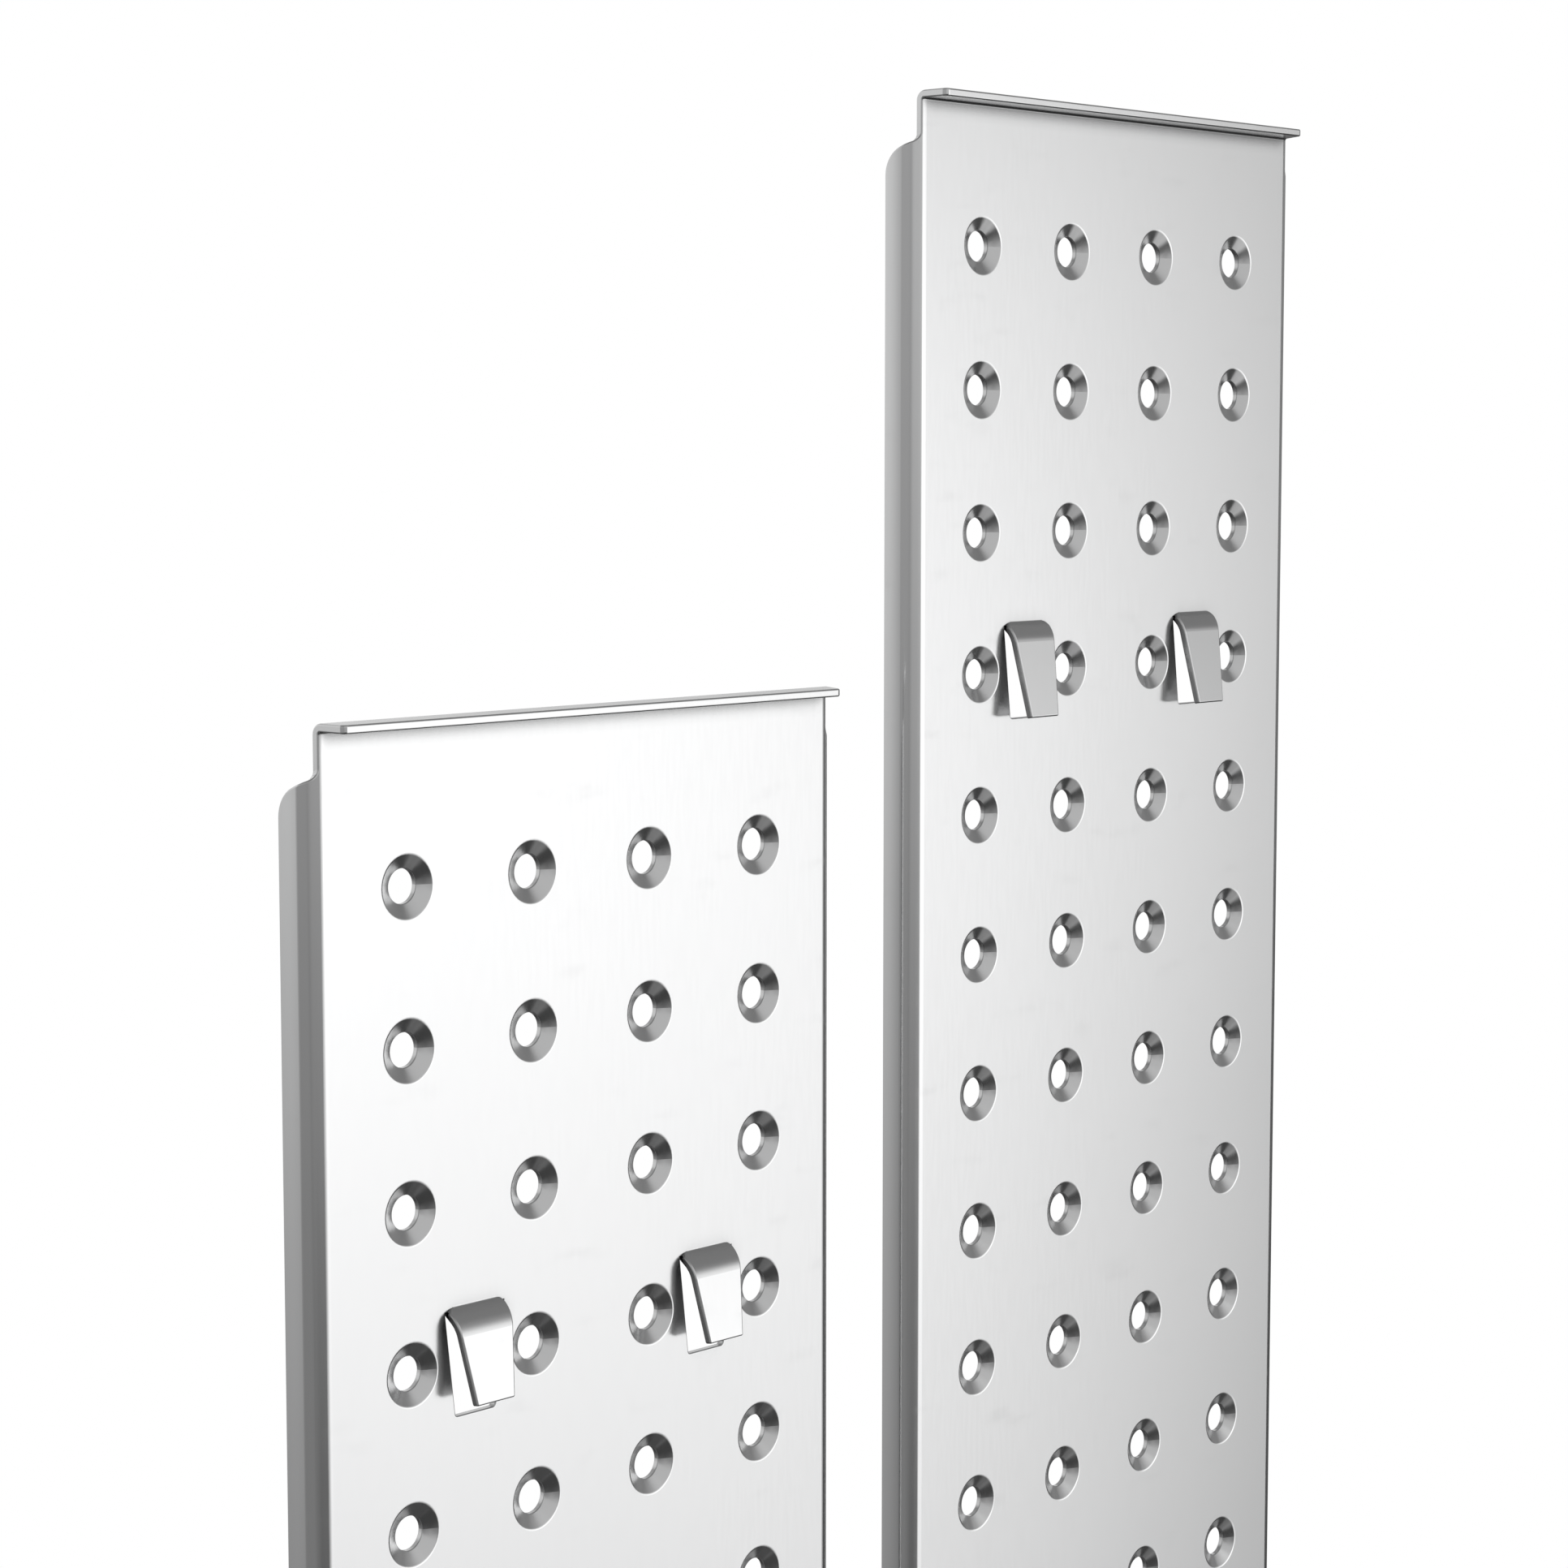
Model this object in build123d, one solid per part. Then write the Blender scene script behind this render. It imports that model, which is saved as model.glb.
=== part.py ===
"""Pair of pressed and folded sheet-steel pegboard panels with lanced hooks.

Each panel is one piece of sheet: a perforated face, two side flanges folded back,
a lip folded forward at each end, dimpled holes in a regular grid, and hooks that
are lanced out of the face. The right panel is mounted higher than the left one.

Millimetres. +X is to the right along the face, +Y is away from the viewer, +Z is up.
The origin is the centre of the bounding box of the pair.
"""

import os
from dataclasses import dataclass
from math import radians, tan

from build123d import *

# Shared by both panels
SHEET = 1.9  # sheet thickness
HOLE_ROWS = 23
HOLE_COLUMNS = 4
HOOK_ROWS = (3, 11, 19)  # hole rows that also carry hooks, counted from the top
HOOK_GAPS = (0, 2)  # hooks stand between these columns and the next ones
EDGE_ROUND = 0.45  # rounded edges of the sheared sheet
HOLE_EDGE_ROUND = 0.35
SHARP_ANGLE = 45.0  # edges that turn by more than this are rounded

# Dimpled holes, pressed towards the back
HOLE_RADIUS = 3.8
DIMPLE_RADIUS = 7.05  # where the cone would meet the face with no rounding
DIMPLE_ANGLE = 28.0  # cone against the face
DIMPLE_FRONT_BEND = 1.1
DIMPLE_BACK_BEND = 0.5
DIMPLE_BLANK_RADIUS = 8.2  # disc of face that each dimple takes the place of

# Side flanges, folded back
BEND_INNER_RADIUS = 2.4
BEND_BULGE = 2.75  # how far the fold stands out past the sheared end tabs
FLANGE_CORNER_RADIUS = 7.0
SHOULDER_ROUND = 1.6
SPARE = 10.0  # extra length of cutting shapes

# End lips, folded forward
LIP_INNER_RADIUS = 0.5
LIP_CORNER_RADIUS = 1.3
LIP_TAPER = 4.0  # how far the slanted end of a lip draws in over its depth

# Lanced hooks, joined to the face at their top
WINDOW_TOP = 11.9  # above the hole row's centre line
WINDOW_BOTTOM = -11.6
WINDOW_TOP_HALF_WIDTH = 8.5
WINDOW_BOTTOM_HALF_WIDTH = 5.7
WINDOW_CORNER_RADIUS = 0.7
WINDOW_RIM = 1.0  # band of face that is rebuilt around a window with rounded edges
HOOK_ROOT = 12.6  # where the hook leaves the face, above the hole row
HOOK_ROOT_HALF_WIDTH = 8.3
HOOK_ROOT_CORNER_RADIUS = 1.5
HOOK_TIP_HALF_WIDTH = 5.2
HOOK_RAMP_ANGLE = 50.0  # upper part, against the face
HOOK_BLADE_ANGLE = 10.0  # lower part, against the face
HOOK_ROOT_BEND = 0.6
HOOK_SHOULDER_BEND = 7.0


@dataclass
class Panel:
    """Driving dimensions that differ between the two panels."""

    name: str
    width: float  # across the end tabs
    column_pitch: float
    row_pitch: float
    end_margin: float  # outermost hole row to the end of the panel
    shoulder: float  # top of the flanges, above the top hole row
    depth: float  # face to the back edge of the flanges
    corner_drop: float  # fall of a flange's top edge towards the back
    lip_depth: float  # face to the front edge of the lips
    hook_reach: float  # face to the front of the hook's tip
    hook_drop: float  # hole row to the hook's tip
    centre_x: float
    top_row_z: float

    @property
    def half(self):
        return self.width / 2

    @property
    def top(self):
        return self.end_margin

    @property
    def middle_z(self):
        return -(HOLE_ROWS - 1) * self.row_pitch / 2


PANELS = (
    Panel("left_panel", 155.2, 36.0, 35.0, 35.87, 24.9, 10.2, 4.3, 8.0, 6.9, 8.15, -94.0, -70.85),
    Panel("right_panel", 152.4, 35.4, 35.25, 36.22, 24.8, 9.7, 3.7, 7.5, 6.65, 11.2, 94.0, 70.85),
)


def round_corner(sketch, x, y, radius):
    """Round the corner of a flat face that lies at a point."""
    spots = [v for v in sketch.vertices() if abs(v.X - x) < 0.01 and abs(v.Y - y) < 0.01]
    return fillet(spots, radius)


def side_plane(x):
    """Plane across the panel: sketch X is the panel's +Y, sketch Y is its +Z."""
    return Plane(origin=(x, 0, 0), x_dir=(0, 1, 0), z_dir=(1, 0, 0))


def front_plane(y):
    """Plane along the panel: sketch X is the panel's +X, sketch Y is its +Z."""
    return Plane(origin=(0, y, 0), x_dir=(1, 0, 0), z_dir=(0, -1, 0))


def sharp_edges(solid):
    """Edges where two faces meet at a sharp angle."""
    meeting = {}
    for face in solid.faces():
        for edge in face.edges():
            spot = edge @ 0.5
            key = (round(spot.X, 3), round(spot.Y, 3), round(spot.Z, 3))
            meeting.setdefault(key, []).append((edge, face.normal_at(spot)))
    found = []
    for pair in meeting.values():
        if len(pair) == 2 and pair[0][1].get_angle(pair[1][1]) > SHARP_ANGLE:
            found.append(pair[0][0])
    return found


def channel_section(panel):
    """Face and flanges across the panel, with the folds."""
    half = panel.half + BEND_BULGE
    low_side = (Align.CENTER, Align.MIN)
    outer = Rectangle(2 * half, panel.depth, align=low_side)
    inner = Pos(0, SHEET) * Rectangle(2 * (half - SHEET), panel.depth, align=low_side)
    section = outer - inner
    for side in (-1, 1):
        section = round_corner(section, side * half, 0, BEND_INNER_RADIUS + SHEET)
        section = round_corner(section, side * (half - SHEET), SHEET, BEND_INNER_RADIUS)
    return section


def flange_notch(panel):
    """Stock beside the end tab and above the flange's sloping, rounded top edge."""
    low = panel.shoulder - panel.corner_drop
    slope = panel.corner_drop / panel.depth
    back = panel.depth
    outline = make_face(
        Polyline(
            (-SPARE, panel.shoulder + SPARE * slope),
            (back, low),
            (back, low - 2 * FLANGE_CORNER_RADIUS),
            (back + SPARE, low - 2 * FLANGE_CORNER_RADIUS),
            (back + SPARE, panel.top + SPARE),
            (-SPARE, panel.top + SPARE),
            close=True,
        )
    )
    outline = round_corner(outline, back, low, FLANGE_CORNER_RADIUS)
    notch = extrude(side_plane(panel.half) * outline, SPARE)
    lowest = low - FLANGE_CORNER_RADIUS
    inner = [e for e in notch.edges() if e.bounding_box().max.X < panel.half + 0.01]
    flowing = [e for e in inner if lowest < e.center().Z < panel.shoulder + SPARE / 2]
    return fillet(flowing, SHOULDER_ROUND)


def lip_slab(panel):
    """Lip seen from above: square at the left end, slanted at the right end."""
    half = panel.half
    front = -panel.lip_depth
    outline = make_face(
        Polyline(
            (-half, SHEET / 2),
            (half, SHEET / 2),
            (half, 0),
            (half - LIP_TAPER, front),
            (-half, front),
            close=True,
        )
    )
    outline = round_corner(outline, -half, front, LIP_CORNER_RADIUS)
    outline = round_corner(outline, half - LIP_TAPER, front, LIP_CORNER_RADIUS)
    return extrude(Plane.XY.offset(panel.top - SHEET) * outline, SHEET)


def upper_half(panel):
    """Folded sheet from the middle of the panel up, with no holes or hooks."""
    length = panel.top - panel.middle_z
    body = extrude(Plane.XY.offset(panel.middle_z) * channel_section(panel), length)
    notch = flange_notch(panel)
    body = body - notch - mirror(notch, about=Plane.YZ) + lip_slab(panel)
    level = [e for e in body.edges() if e.bounding_box().size.Z < 0.01 and e.length > 1.0]
    highest = [e for e in level if e.center().Z > panel.top - 0.01]
    back_fold = [e for e in highest if e.bounding_box().min.Y > SHEET - 0.05]
    body = fillet(back_fold, LIP_INNER_RADIUS + SHEET)
    level = [e for e in body.edges() if e.bounding_box().size.Z < 0.01 and e.length > 1.0]
    under = [e for e in level if abs(e.center().Z - panel.top + SHEET) < 0.01]
    front_fold = [e for e in under if e.bounding_box().min.Y > -0.01]
    body = fillet(front_fold, LIP_INNER_RADIUS)
    rim = [e for e in sharp_edges(body) if e.center().Z > panel.middle_z + 1.0]
    return fillet(rim, EDGE_ROUND)


def dimple():
    """Ring of face with its cone and hole, about an axis along +Y."""
    slope = tan(radians(DIMPLE_ANGLE))
    fall = (DIMPLE_RADIUS - HOLE_RADIUS) * slope
    back_start = DIMPLE_RADIUS - SHEET * tan(radians(DIMPLE_ANGLE / 2))
    back_fall = SHEET + (back_start - HOLE_RADIUS) * slope
    section = make_face(
        Polyline(
            (DIMPLE_BLANK_RADIUS, 0),
            (DIMPLE_RADIUS, 0),
            (HOLE_RADIUS, fall),
            (HOLE_RADIUS, back_fall),
            (back_start, SHEET),
            (DIMPLE_BLANK_RADIUS, SHEET),
            close=True,
        )
    )
    section = round_corner(section, DIMPLE_RADIUS, 0, DIMPLE_FRONT_BEND)
    section = round_corner(section, back_start, SHEET, DIMPLE_BACK_BEND)
    section = round_corner(section, HOLE_RADIUS, fall, HOLE_EDGE_ROUND)
    section = round_corner(section, HOLE_RADIUS, back_fall, HOLE_EDGE_ROUND)
    return revolve(Plane.XY * section, Axis.Y)


def window_outline(margin):
    """Tapered opening behind a hook, grown by a margin, centred on the hook."""
    top = WINDOW_TOP + margin
    bottom = WINDOW_BOTTOM - margin
    wide = WINDOW_TOP_HALF_WIDTH + margin
    narrow = WINDOW_BOTTOM_HALF_WIDTH + margin
    outline = make_face(
        Polyline((-wide, top), (wide, top), (narrow, bottom), (-narrow, bottom), close=True)
    )
    for x in (-narrow, narrow):
        outline = round_corner(outline, x, bottom, WINDOW_CORNER_RADIUS + margin)
    return outline


def window_blank():
    """Piece of face that a window and its rim take the place of."""
    return extrude(front_plane(0) * window_outline(WINDOW_RIM), 2 * SHEET, both=True)


def window_rim():
    """Frame around a window, with rounded inner edges."""
    plate = extrude(front_plane(SHEET) * window_outline(WINDOW_RIM), SHEET)
    opening = extrude(front_plane(2 * SHEET) * window_outline(0), 4 * SHEET)
    frame = plate - opening
    reach = WINDOW_TOP_HALF_WIDTH + 0.3 * WINDOW_RIM
    edges = [e for e in sharp_edges(frame) if e.bounding_box().max.X < reach]
    edges = [e for e in edges if e.bounding_box().min.X > -reach]
    edges = [e for e in edges if WINDOW_BOTTOM - 0.1 < e.bounding_box().min.Z < WINDOW_TOP - 0.1]
    edges = [e for e in edges if e.bounding_box().size.Y < 0.01]
    edges = [e for e in edges if e.bounding_box().max.Z < WINDOW_TOP + 0.1]
    return fillet(edges, HOLE_EDGE_ROUND)


def hook(panel):
    """Tapered blade that leaves the face at its top and opens downwards."""
    ramp = tan(radians(HOOK_RAMP_ANGLE))
    blade = tan(radians(HOOK_BLADE_ANGLE))
    tip_z = -panel.hook_drop
    shoulder_z = (HOOK_ROOT * ramp + tip_z * -blade - panel.hook_reach) / (ramp - blade)
    shoulder_y = -(HOOK_ROOT - shoulder_z) * ramp
    front = FilletPolyline(
        (0, HOOK_ROOT + 2 * SHEET),
        (0, HOOK_ROOT),
        (shoulder_y, shoulder_z),
        (-panel.hook_reach, tip_z),
        radius=[HOOK_ROOT_BEND, HOOK_SHOULDER_BEND],
    )
    section = make_face(offset(front, SHEET, side=Side.LEFT, closed=True))
    strip = extrude(side_plane(0) * section, 2 * HOOK_ROOT_HALF_WIDTH, both=True)
    neck = HOOK_ROOT_HALF_WIDTH - 1.25 * HOOK_ROOT_CORNER_RADIUS
    outline = make_face(
        Polyline(
            (-neck, HOOK_ROOT + 2 * SHEET),
            (neck, HOOK_ROOT + 2 * SHEET),
            (neck, HOOK_ROOT),
            (HOOK_ROOT_HALF_WIDTH, HOOK_ROOT),
            (HOOK_TIP_HALF_WIDTH, tip_z - SHEET),
            (-HOOK_TIP_HALF_WIDTH, tip_z - SHEET),
            (-HOOK_ROOT_HALF_WIDTH, HOOK_ROOT),
            (-neck, HOOK_ROOT),
            close=True,
        )
    )
    for side in (-1, 1):
        x = side * HOOK_ROOT_HALF_WIDTH
        outline = round_corner(outline, x, HOOK_ROOT, HOOK_ROOT_CORNER_RADIUS)
    solid = strip & extrude(front_plane(0) * outline, 4 * panel.hook_reach, both=True)
    free = [e for e in sharp_edges(solid) if e.bounding_box().max.Z < HOOK_ROOT - 0.5]
    return fillet(free, EDGE_ROUND)


def hole_spots(panel):
    """Places of the hole centres on the face, as (x, z)."""
    first = -(HOLE_COLUMNS - 1) / 2 * panel.column_pitch
    return [
        (first + column * panel.column_pitch, -row * panel.row_pitch)
        for row in range(HOLE_ROWS)
        for column in range(HOLE_COLUMNS)
    ]


def hook_spots(panel):
    """Places of the hook centres on the face, as (x, z)."""
    first = -(HOLE_COLUMNS - 1) / 2 * panel.column_pitch
    return [
        (first + (gap + 0.5) * panel.column_pitch, -row * panel.row_pitch)
        for row in HOOK_ROWS
        for gap in HOOK_GAPS
    ]


def build_panel(panel):
    """One whole panel, in place."""
    upper = upper_half(panel)
    sheet = upper + mirror(upper, about=Plane.XY.offset(panel.middle_z))
    blank = extrude(front_plane(0) * Circle(DIMPLE_BLANK_RADIUS), 2 * SHEET, both=True)
    window = window_blank()
    rim = window_rim()
    blade = hook(panel)
    ring = dimple()
    cuts = [Pos(x, 0, z) * blank for x, z in hole_spots(panel)]
    cuts += [Pos(x, 0, z) * window for x, z in hook_spots(panel)]
    sheet = sheet - cuts
    additions = [Pos(x, 0, z) * ring for x, z in hole_spots(panel)]
    additions += [Pos(x, 0, z) * rim for x, z in hook_spots(panel)]
    sheet = sheet + additions
    sheet = sheet + [Pos(x, 0, z) * blade for x, z in hook_spots(panel)]
    return Pos(panel.centre_x, 0, panel.top_row_z) * sheet


def main():
    os.makedirs("parts", exist_ok=True)
    placed = {panel.name: build_panel(panel) for panel in PANELS}
    boxes = [solid.bounding_box() for solid in placed.values()]
    centre = boxes[0].add(boxes[1]).center()
    for name, solid in placed.items():
        moved = Pos(-centre.X, -centre.Y, -centre.Z) * solid
        print(name, moved.is_valid, len(moved.solids()), round(moved.volume, 1), moved.bounding_box())
        export_step(moved, f"parts/{name}.step")


main()
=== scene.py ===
"""Pair of perforated steel pegboard panels, lit as in a plain white studio."""

from math import cos, radians, sin

import bpy
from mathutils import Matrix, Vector


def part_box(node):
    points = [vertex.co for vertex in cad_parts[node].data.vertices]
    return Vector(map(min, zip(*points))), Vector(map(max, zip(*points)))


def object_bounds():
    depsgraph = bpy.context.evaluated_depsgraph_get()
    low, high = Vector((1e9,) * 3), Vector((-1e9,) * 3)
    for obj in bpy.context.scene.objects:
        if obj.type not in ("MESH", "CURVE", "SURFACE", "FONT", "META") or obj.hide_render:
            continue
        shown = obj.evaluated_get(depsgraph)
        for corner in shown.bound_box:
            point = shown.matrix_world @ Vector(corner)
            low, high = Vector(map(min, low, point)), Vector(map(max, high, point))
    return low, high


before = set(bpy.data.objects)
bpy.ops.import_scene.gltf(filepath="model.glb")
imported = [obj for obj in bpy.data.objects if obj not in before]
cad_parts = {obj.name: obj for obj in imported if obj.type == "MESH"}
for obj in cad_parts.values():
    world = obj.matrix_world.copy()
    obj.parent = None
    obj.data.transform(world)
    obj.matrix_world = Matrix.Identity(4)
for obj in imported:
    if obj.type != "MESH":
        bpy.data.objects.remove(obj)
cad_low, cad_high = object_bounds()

# Soft lights: azimuth, inner and outer half angle in degrees, then the height (sine of
# the elevation) at which the light starts, is full, is full no more and ends, strength.
# Azimuth 0 is +X and 90 is -Y, in front of the panels.
SOFT_LIGHTS = (
    (54, 10, 26.5, -0.9, -0.12, -0.12, 0.47, 1.38),  # main light, seen in the faces
    (90, 22, 56, -0.5, 0.1, 0.5, 0.95, 0.42),  # front fill, seen in the dimples
    (238, 10, 34, -0.5, 0.0, 0.4, 0.8, 0.42),  # left of the flanges
    (278, 12, 36, -0.7, -0.1, 0.5, 0.95, 0.45),  # behind
    (190, 32, 76, -1.0, -0.1, 0.3, 0.8, 0.24),  # low fill, seen in the folds
    (308, 14, 32, 0.0, 0.05, 0.3, 0.7, 0.5),  # seen in the tops of the lips
    (330, 40, 80, -0.6, -0.1, 0.1, 0.5, 0.05),
)
HORIZON = (-0.25, 0.1)  # heights between which the plain studio brightens
STUDIO_BELOW = 0.065
STUDIO_ABOVE = 0.27

FLOOR_RADIUS = 0.55
FLOOR_GAP = 0.03  # below the panels, which hang clear of it
FLOOR_SIDES = 96
FLOOR_PALE = (0.8, 0.8, 0.8, 1)
FLOOR_LIFT = 0.55  # added to the floor's brightness for the camera
FLOOR_IN_REFLECTIONS = (0.2, 0.2, 0.2, 1)

CAMERA_LENS = 80
CAMERA_SENSOR = 36
CAMERA_TILT = 5.452  # degrees below level
CAMERA_HEADING = -47.19
CAMERA_FROM_CORNER = Vector((-0.45415, -0.5452, 0.05542))  # from the left panel's top front corner
CAMERA_RANGE = (0.01, 50)

FOLD_DEPTH = 0.0043  # face to the end of the fold
FLANGE_DEPTH = {"left_panel": 0.0102, "right_panel": 0.0097}
FLANGE_BULGE = 0.00275  # how far the flanges stand out past the end tabs
FLANGE_LEAN = 0.11  # slope of the flange next to the fold
FLANGE_LEVEL = 0.0013  # the flange is level this far short of its back edge
CROWN_EDGE = 0.001  # the lean comes in over this width

CLOUD_SCALE = 14
GRAIN_SCALE = 900
GRAIN_STRETCH = (1, 1, 0.12)
MARK_SCALE = 45
MARK_STRETCH = (1, 1, 3)
TONE_DARK = (0.775, 0.777, 0.78, 1)
TONE_LIGHT = (0.8, 0.801, 0.803, 1)
CLOUD_RANGE = (0.3, 0.7)
# Painted shade: ambient occlusion darkens the steel's base colour near other surfaces, in the
# dimples, under the lips and at the hooks' roots.
PAINTED_SHADE_REACH = 0.005
PAINTED_SHADE_SAMPLES = 8
PAINTED_SHADE_OPEN = (0.35, 1.0)
PAINTED_SHADE_RANGE = (0.15, 1.0)
ROUGHNESS = (0.155, 0.185)
MARK_ROUGHNESS = 0.05
GRAIN_ROUGHNESS = 0.01
GRAIN_STRENGTH = 0.03
GRAIN_HEIGHT = 0.00002


# ---------------------------------------------------------------- node helpers


class Nodes:
    """Adds nodes to a tree and links them, so that a material reads as a short list."""

    def __init__(self, tree):
        self.tree = tree
        self.tree.nodes.clear()

    def add(self, kind, **settings):
        node = self.tree.nodes.new(kind)
        for name, value in settings.items():
            setattr(node, name, value)
        return node

    def link(self, output, socket):
        self.tree.links.new(output, socket)

    def math(self, operation, a, b=None):
        """Math node on one or two values, each a number or another node's output."""
        node = self.add("ShaderNodeMath", operation=operation)
        for socket, value in zip(node.inputs, (a, b)):
            if value is None:
                continue
            if isinstance(value, (int, float)):
                socket.default_value = value
            else:
                self.link(value, socket)
        return node.outputs[0]

    def smooth(self, value, start, end, low, high):
        """Smooth step of value from low at start to high at end."""
        node = self.add("ShaderNodeMapRange", interpolation_type="SMOOTHSTEP")
        self.link(value, node.inputs["Value"])
        limits = {"From Min": start, "From Max": end, "To Min": low, "To Max": high}
        for name, number in limits.items():
            node.inputs[name].default_value = number
        return node.outputs["Result"]

    def noise(self, place, scale, detail, stretch=(1, 1, 1)):
        """Noise over the object, with a scale in waves per metre."""
        spread = self.add("ShaderNodeMapping")
        spread.inputs["Scale"].default_value = stretch
        self.link(place, spread.inputs["Vector"])
        texture = self.add("ShaderNodeTexNoise")
        texture.inputs["Scale"].default_value = scale
        texture.inputs["Detail"].default_value = detail
        self.link(spread.outputs[0], texture.inputs["Vector"])
        return texture.outputs["Fac"]

    def finish(self, shader, output_kind, for_camera=None):
        """Ends the tree in shader, or in for_camera where the camera sees it directly."""
        surface = shader.outputs[0]
        if for_camera:
            path = self.add("ShaderNodeLightPath")
            mix = self.add("ShaderNodeMixShader")
            self.link(path.outputs["Is Camera Ray"], mix.inputs[0])
            self.link(surface, mix.inputs[1])
            self.link(for_camera.outputs[0], mix.inputs[2])
            surface = mix.outputs[0]
        self.link(surface, self.add(output_kind).inputs["Surface"])


def new_material(name):
    material = bpy.data.materials.new(name)
    material.use_nodes = True
    return material, Nodes(material.node_tree)


# ---------------------------------------------------------------- studio


def light_window(n, value, edges, strength):
    """Rises over the first two edges and falls over the last two."""
    rise = n.smooth(value, edges[0], edges[1], 0, 1)
    fall = n.smooth(value, edges[2], edges[3], strength, 0)
    return n.math("MULTIPLY", rise, fall)


def studio_world():
    """White to the camera, and soft lights in a dim room to everything else."""
    world = bpy.data.worlds.new("studio")
    bpy.context.scene.world = world
    world.use_nodes = True
    n = Nodes(world.node_tree)
    direction = n.add("ShaderNodeTexCoord").outputs["Generated"]
    split = n.add("ShaderNodeSeparateXYZ")
    n.link(direction, split.inputs[0])
    height = split.outputs["Z"]
    level = n.add("ShaderNodeVectorMath", operation="MULTIPLY")
    n.link(direction, level.inputs[0])
    level.inputs[1].default_value = (1, 1, 0)
    heading = n.add("ShaderNodeVectorMath", operation="NORMALIZE")
    n.link(level.outputs[0], heading.inputs[0])
    total = n.smooth(height, *HORIZON, STUDIO_BELOW, STUDIO_ABOVE)
    for azimuth, inner, outer, *heights, strength in SOFT_LIGHTS:
        turn = radians(azimuth)
        dot = n.add("ShaderNodeVectorMath", operation="DOT_PRODUCT")
        n.link(heading.outputs[0], dot.inputs[0])
        dot.inputs[1].default_value = (cos(turn), -sin(turn), 0)
        across = n.smooth(dot.outputs["Value"], cos(radians(outer)), cos(radians(inner)), 0, 1)
        glow = n.math("MULTIPLY", across, light_window(n, height, heights, strength))
        total = n.math("ADD", total, glow)
    studio = n.add("ShaderNodeBackground")
    n.link(total, studio.inputs["Strength"])
    white = n.add("ShaderNodeBackground")
    white.inputs["Strength"].default_value = 1.0
    white.inputs["Color"].default_value = (1, 1, 1, 1)
    n.finish(studio, "ShaderNodeOutputWorld", for_camera=white)


def floor():
    """Pale disc below the panels, dimmer in reflections so that the dimples stay dark."""
    bpy.ops.mesh.primitive_circle_add(
        vertices=FLOOR_SIDES,
        radius=FLOOR_RADIUS,
        fill_type="NGON",
        location=(0, 0, cad_low.z - FLOOR_GAP),
    )
    disc = bpy.context.object
    disc.name = "floor"
    material, n = new_material("floor")
    pale = n.add("ShaderNodeBsdfDiffuse")
    pale.inputs["Color"].default_value = FLOOR_PALE
    lift = n.add("ShaderNodeEmission")
    lift.inputs["Strength"].default_value = FLOOR_LIFT
    seen = n.add("ShaderNodeAddShader")
    n.link(pale.outputs[0], seen.inputs[0])
    n.link(lift.outputs[0], seen.inputs[1])
    dim = n.add("ShaderNodeBsdfDiffuse")
    dim.inputs["Color"].default_value = FLOOR_IN_REFLECTIONS
    n.finish(dim, "ShaderNodeOutputMaterial", for_camera=seen)
    disc.data.materials.append(material)


def camera():
    low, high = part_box("left_panel")
    data = bpy.data.cameras.new("camera")
    data.lens = CAMERA_LENS
    data.sensor_width = CAMERA_SENSOR
    data.clip_start, data.clip_end = CAMERA_RANGE
    eye = bpy.data.objects.new("camera", data)
    eye.location = Vector((low.x, low.y, high.z)) + CAMERA_FROM_CORNER
    eye.rotation_euler = (radians(90 - CAMERA_TILT), 0, radians(CAMERA_HEADING))
    bpy.context.collection.objects.link(eye)
    bpy.context.scene.camera = eye


# ---------------------------------------------------------------- materials


def flange_crown(n, place, panel):
    """Height that leans a flange towards its fold and levels it near its back edge."""
    low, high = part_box(panel)
    flange = FLANGE_DEPTH[panel]
    split = n.add("ShaderNodeSeparateXYZ")
    n.link(place, split.inputs[0])
    depth = n.math("SUBTRACT", split.outputs["Y"], high.y - flange)
    depth = n.math("MAXIMUM", depth, 0)
    past_fold = n.math("MAXIMUM", n.math("SUBTRACT", depth, FOLD_DEPTH), 0)
    curve = 0.5 / (flange - FOLD_DEPTH - FLANGE_LEVEL)
    drop = n.math("MULTIPLY", n.math("POWER", past_fold, 2), curve)
    height = n.math("MULTIPLY", n.math("SUBTRACT", depth, drop), FLANGE_LEAN)
    from_middle = n.math("SUBTRACT", split.outputs["X"], (low.x + high.x) / 2)
    from_middle = n.math("ABSOLUTE", from_middle)
    edge = (high.x - low.x) / 2 - FLANGE_BULGE
    return n.math("MULTIPLY", height, n.smooth(from_middle, edge, edge + CROWN_EDGE, 0, 1))


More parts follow.
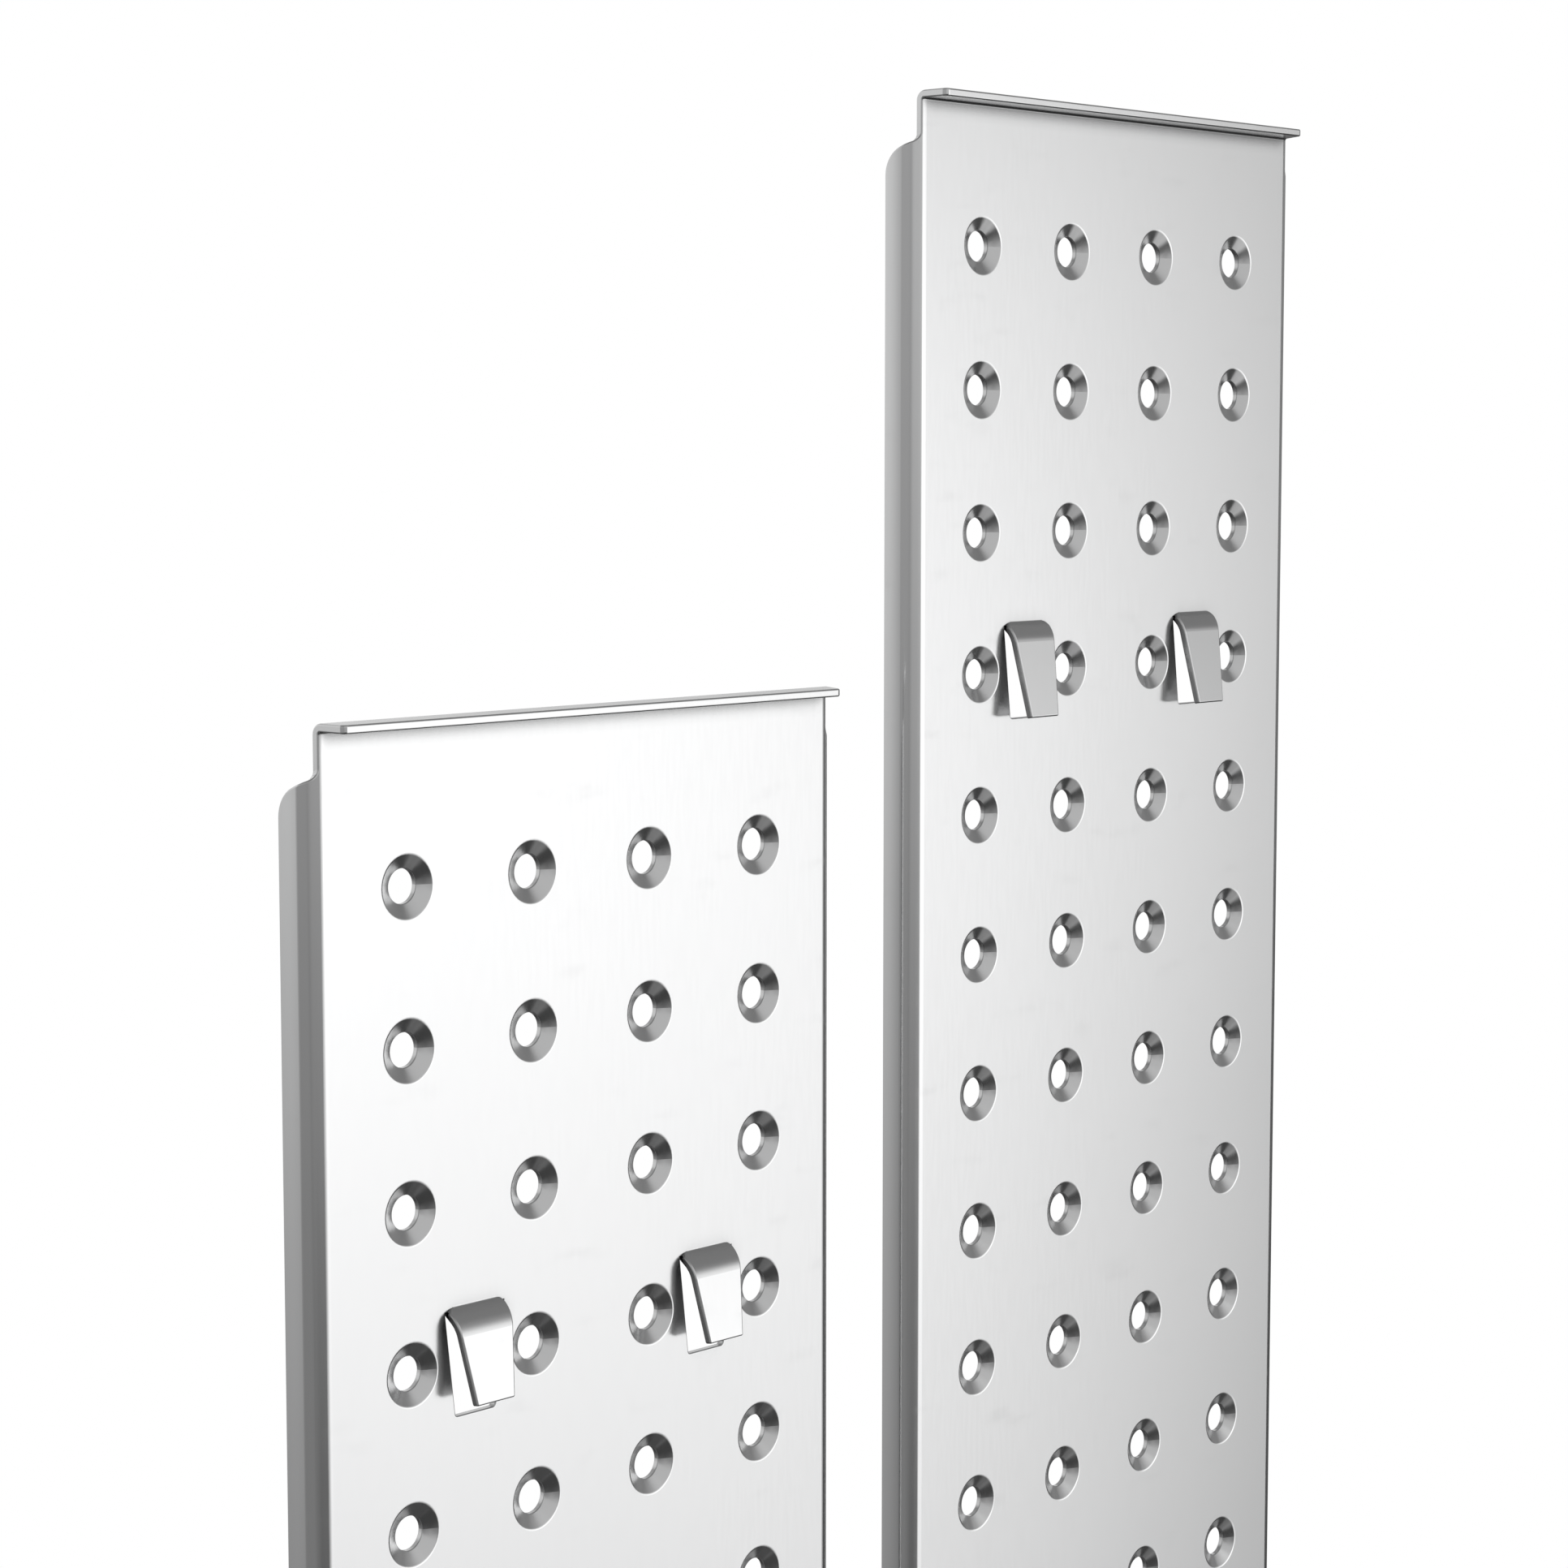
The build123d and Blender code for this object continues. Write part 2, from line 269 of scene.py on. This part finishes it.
def steel_tone_and_painted_shade(n, cloud):
    """Cloudy pale metal, with painted shade darkening it in the dimples, under the lips and at the
    hooks' roots.
    """
    tone = n.add("ShaderNodeValToRGB")
    ends = tone.color_ramp.elements
    for end, position, colour in zip(ends, CLOUD_RANGE, (TONE_DARK, TONE_LIGHT)):
        end.position = position
        end.color = colour
    n.link(cloud, tone.inputs["Fac"])
    # Painted shade: the ambient occlusion factor multiplies the base colour darker where other
    # surfaces are close.
    painted_shade_ao = n.add("ShaderNodeAmbientOcclusion", samples=PAINTED_SHADE_SAMPLES)
    painted_shade_ao.inputs["Distance"].default_value = PAINTED_SHADE_REACH
    shade = n.add("ShaderNodeMix", data_type="RGBA", blend_type="MULTIPLY")
    shade.inputs["Factor"].default_value = 1.0
    n.link(tone.outputs["Color"], shade.inputs["A"])
    n.link(n.smooth(painted_shade_ao.outputs["AO"], *PAINTED_SHADE_OPEN, *PAINTED_SHADE_RANGE), shade.inputs["B"])
    return shade.outputs["Result"]


def steel_bump(n, height, strength, distance, under=None):
    bump = n.add("ShaderNodeBump")
    bump.inputs["Strength"].default_value = strength
    bump.inputs["Distance"].default_value = distance
    n.link(height, bump.inputs["Height"])
    if under:
        n.link(under, bump.inputs["Normal"])
    return bump.outputs["Normal"]


def steel(panel):
    """Satin zinc-plated sheet: soft clouds, rolling grain, faint marks and painted shade in its
    crevices.
    """
    material, n = new_material("zinc_steel_" + panel)
    place = n.add("ShaderNodeTexCoord").outputs["Object"]
    cloud = n.noise(place, CLOUD_SCALE, 3)
    grain = n.noise(place, GRAIN_SCALE, 2, GRAIN_STRETCH)
    marks = n.noise(place, MARK_SCALE, 6, MARK_STRETCH)
    rough = n.smooth(cloud, *CLOUD_RANGE, *ROUGHNESS)
    rough = n.math("ADD", rough, n.smooth(marks, 0.58, 0.75, 0, MARK_ROUGHNESS))
    grain_rough = n.smooth(grain, 0.35, 0.65, -GRAIN_ROUGHNESS, GRAIN_ROUGHNESS)
    rough = n.math("ADD", rough, grain_rough)
    crown = steel_bump(n, flange_crown(n, place, panel), 1.0, 1.0)
    normal = steel_bump(n, grain, GRAIN_STRENGTH, GRAIN_HEIGHT, under=crown)
    shader = n.add("ShaderNodeBsdfPrincipled")
    shader.inputs["Metallic"].default_value = 1.0
    n.link(steel_tone_and_painted_shade(n, cloud), shader.inputs["Base Color"])
    n.link(rough, shader.inputs["Roughness"])
    n.link(normal, shader.inputs["Normal"])
    n.finish(shader, "ShaderNodeOutputMaterial")
    return material


def dress_panels():
    for name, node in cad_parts.items():
        node.data.materials.clear()
        node.data.materials.append(steel(name))


bpy.context.scene.view_settings.view_transform = "Standard"
studio_world()
floor()
camera()
dress_panels()
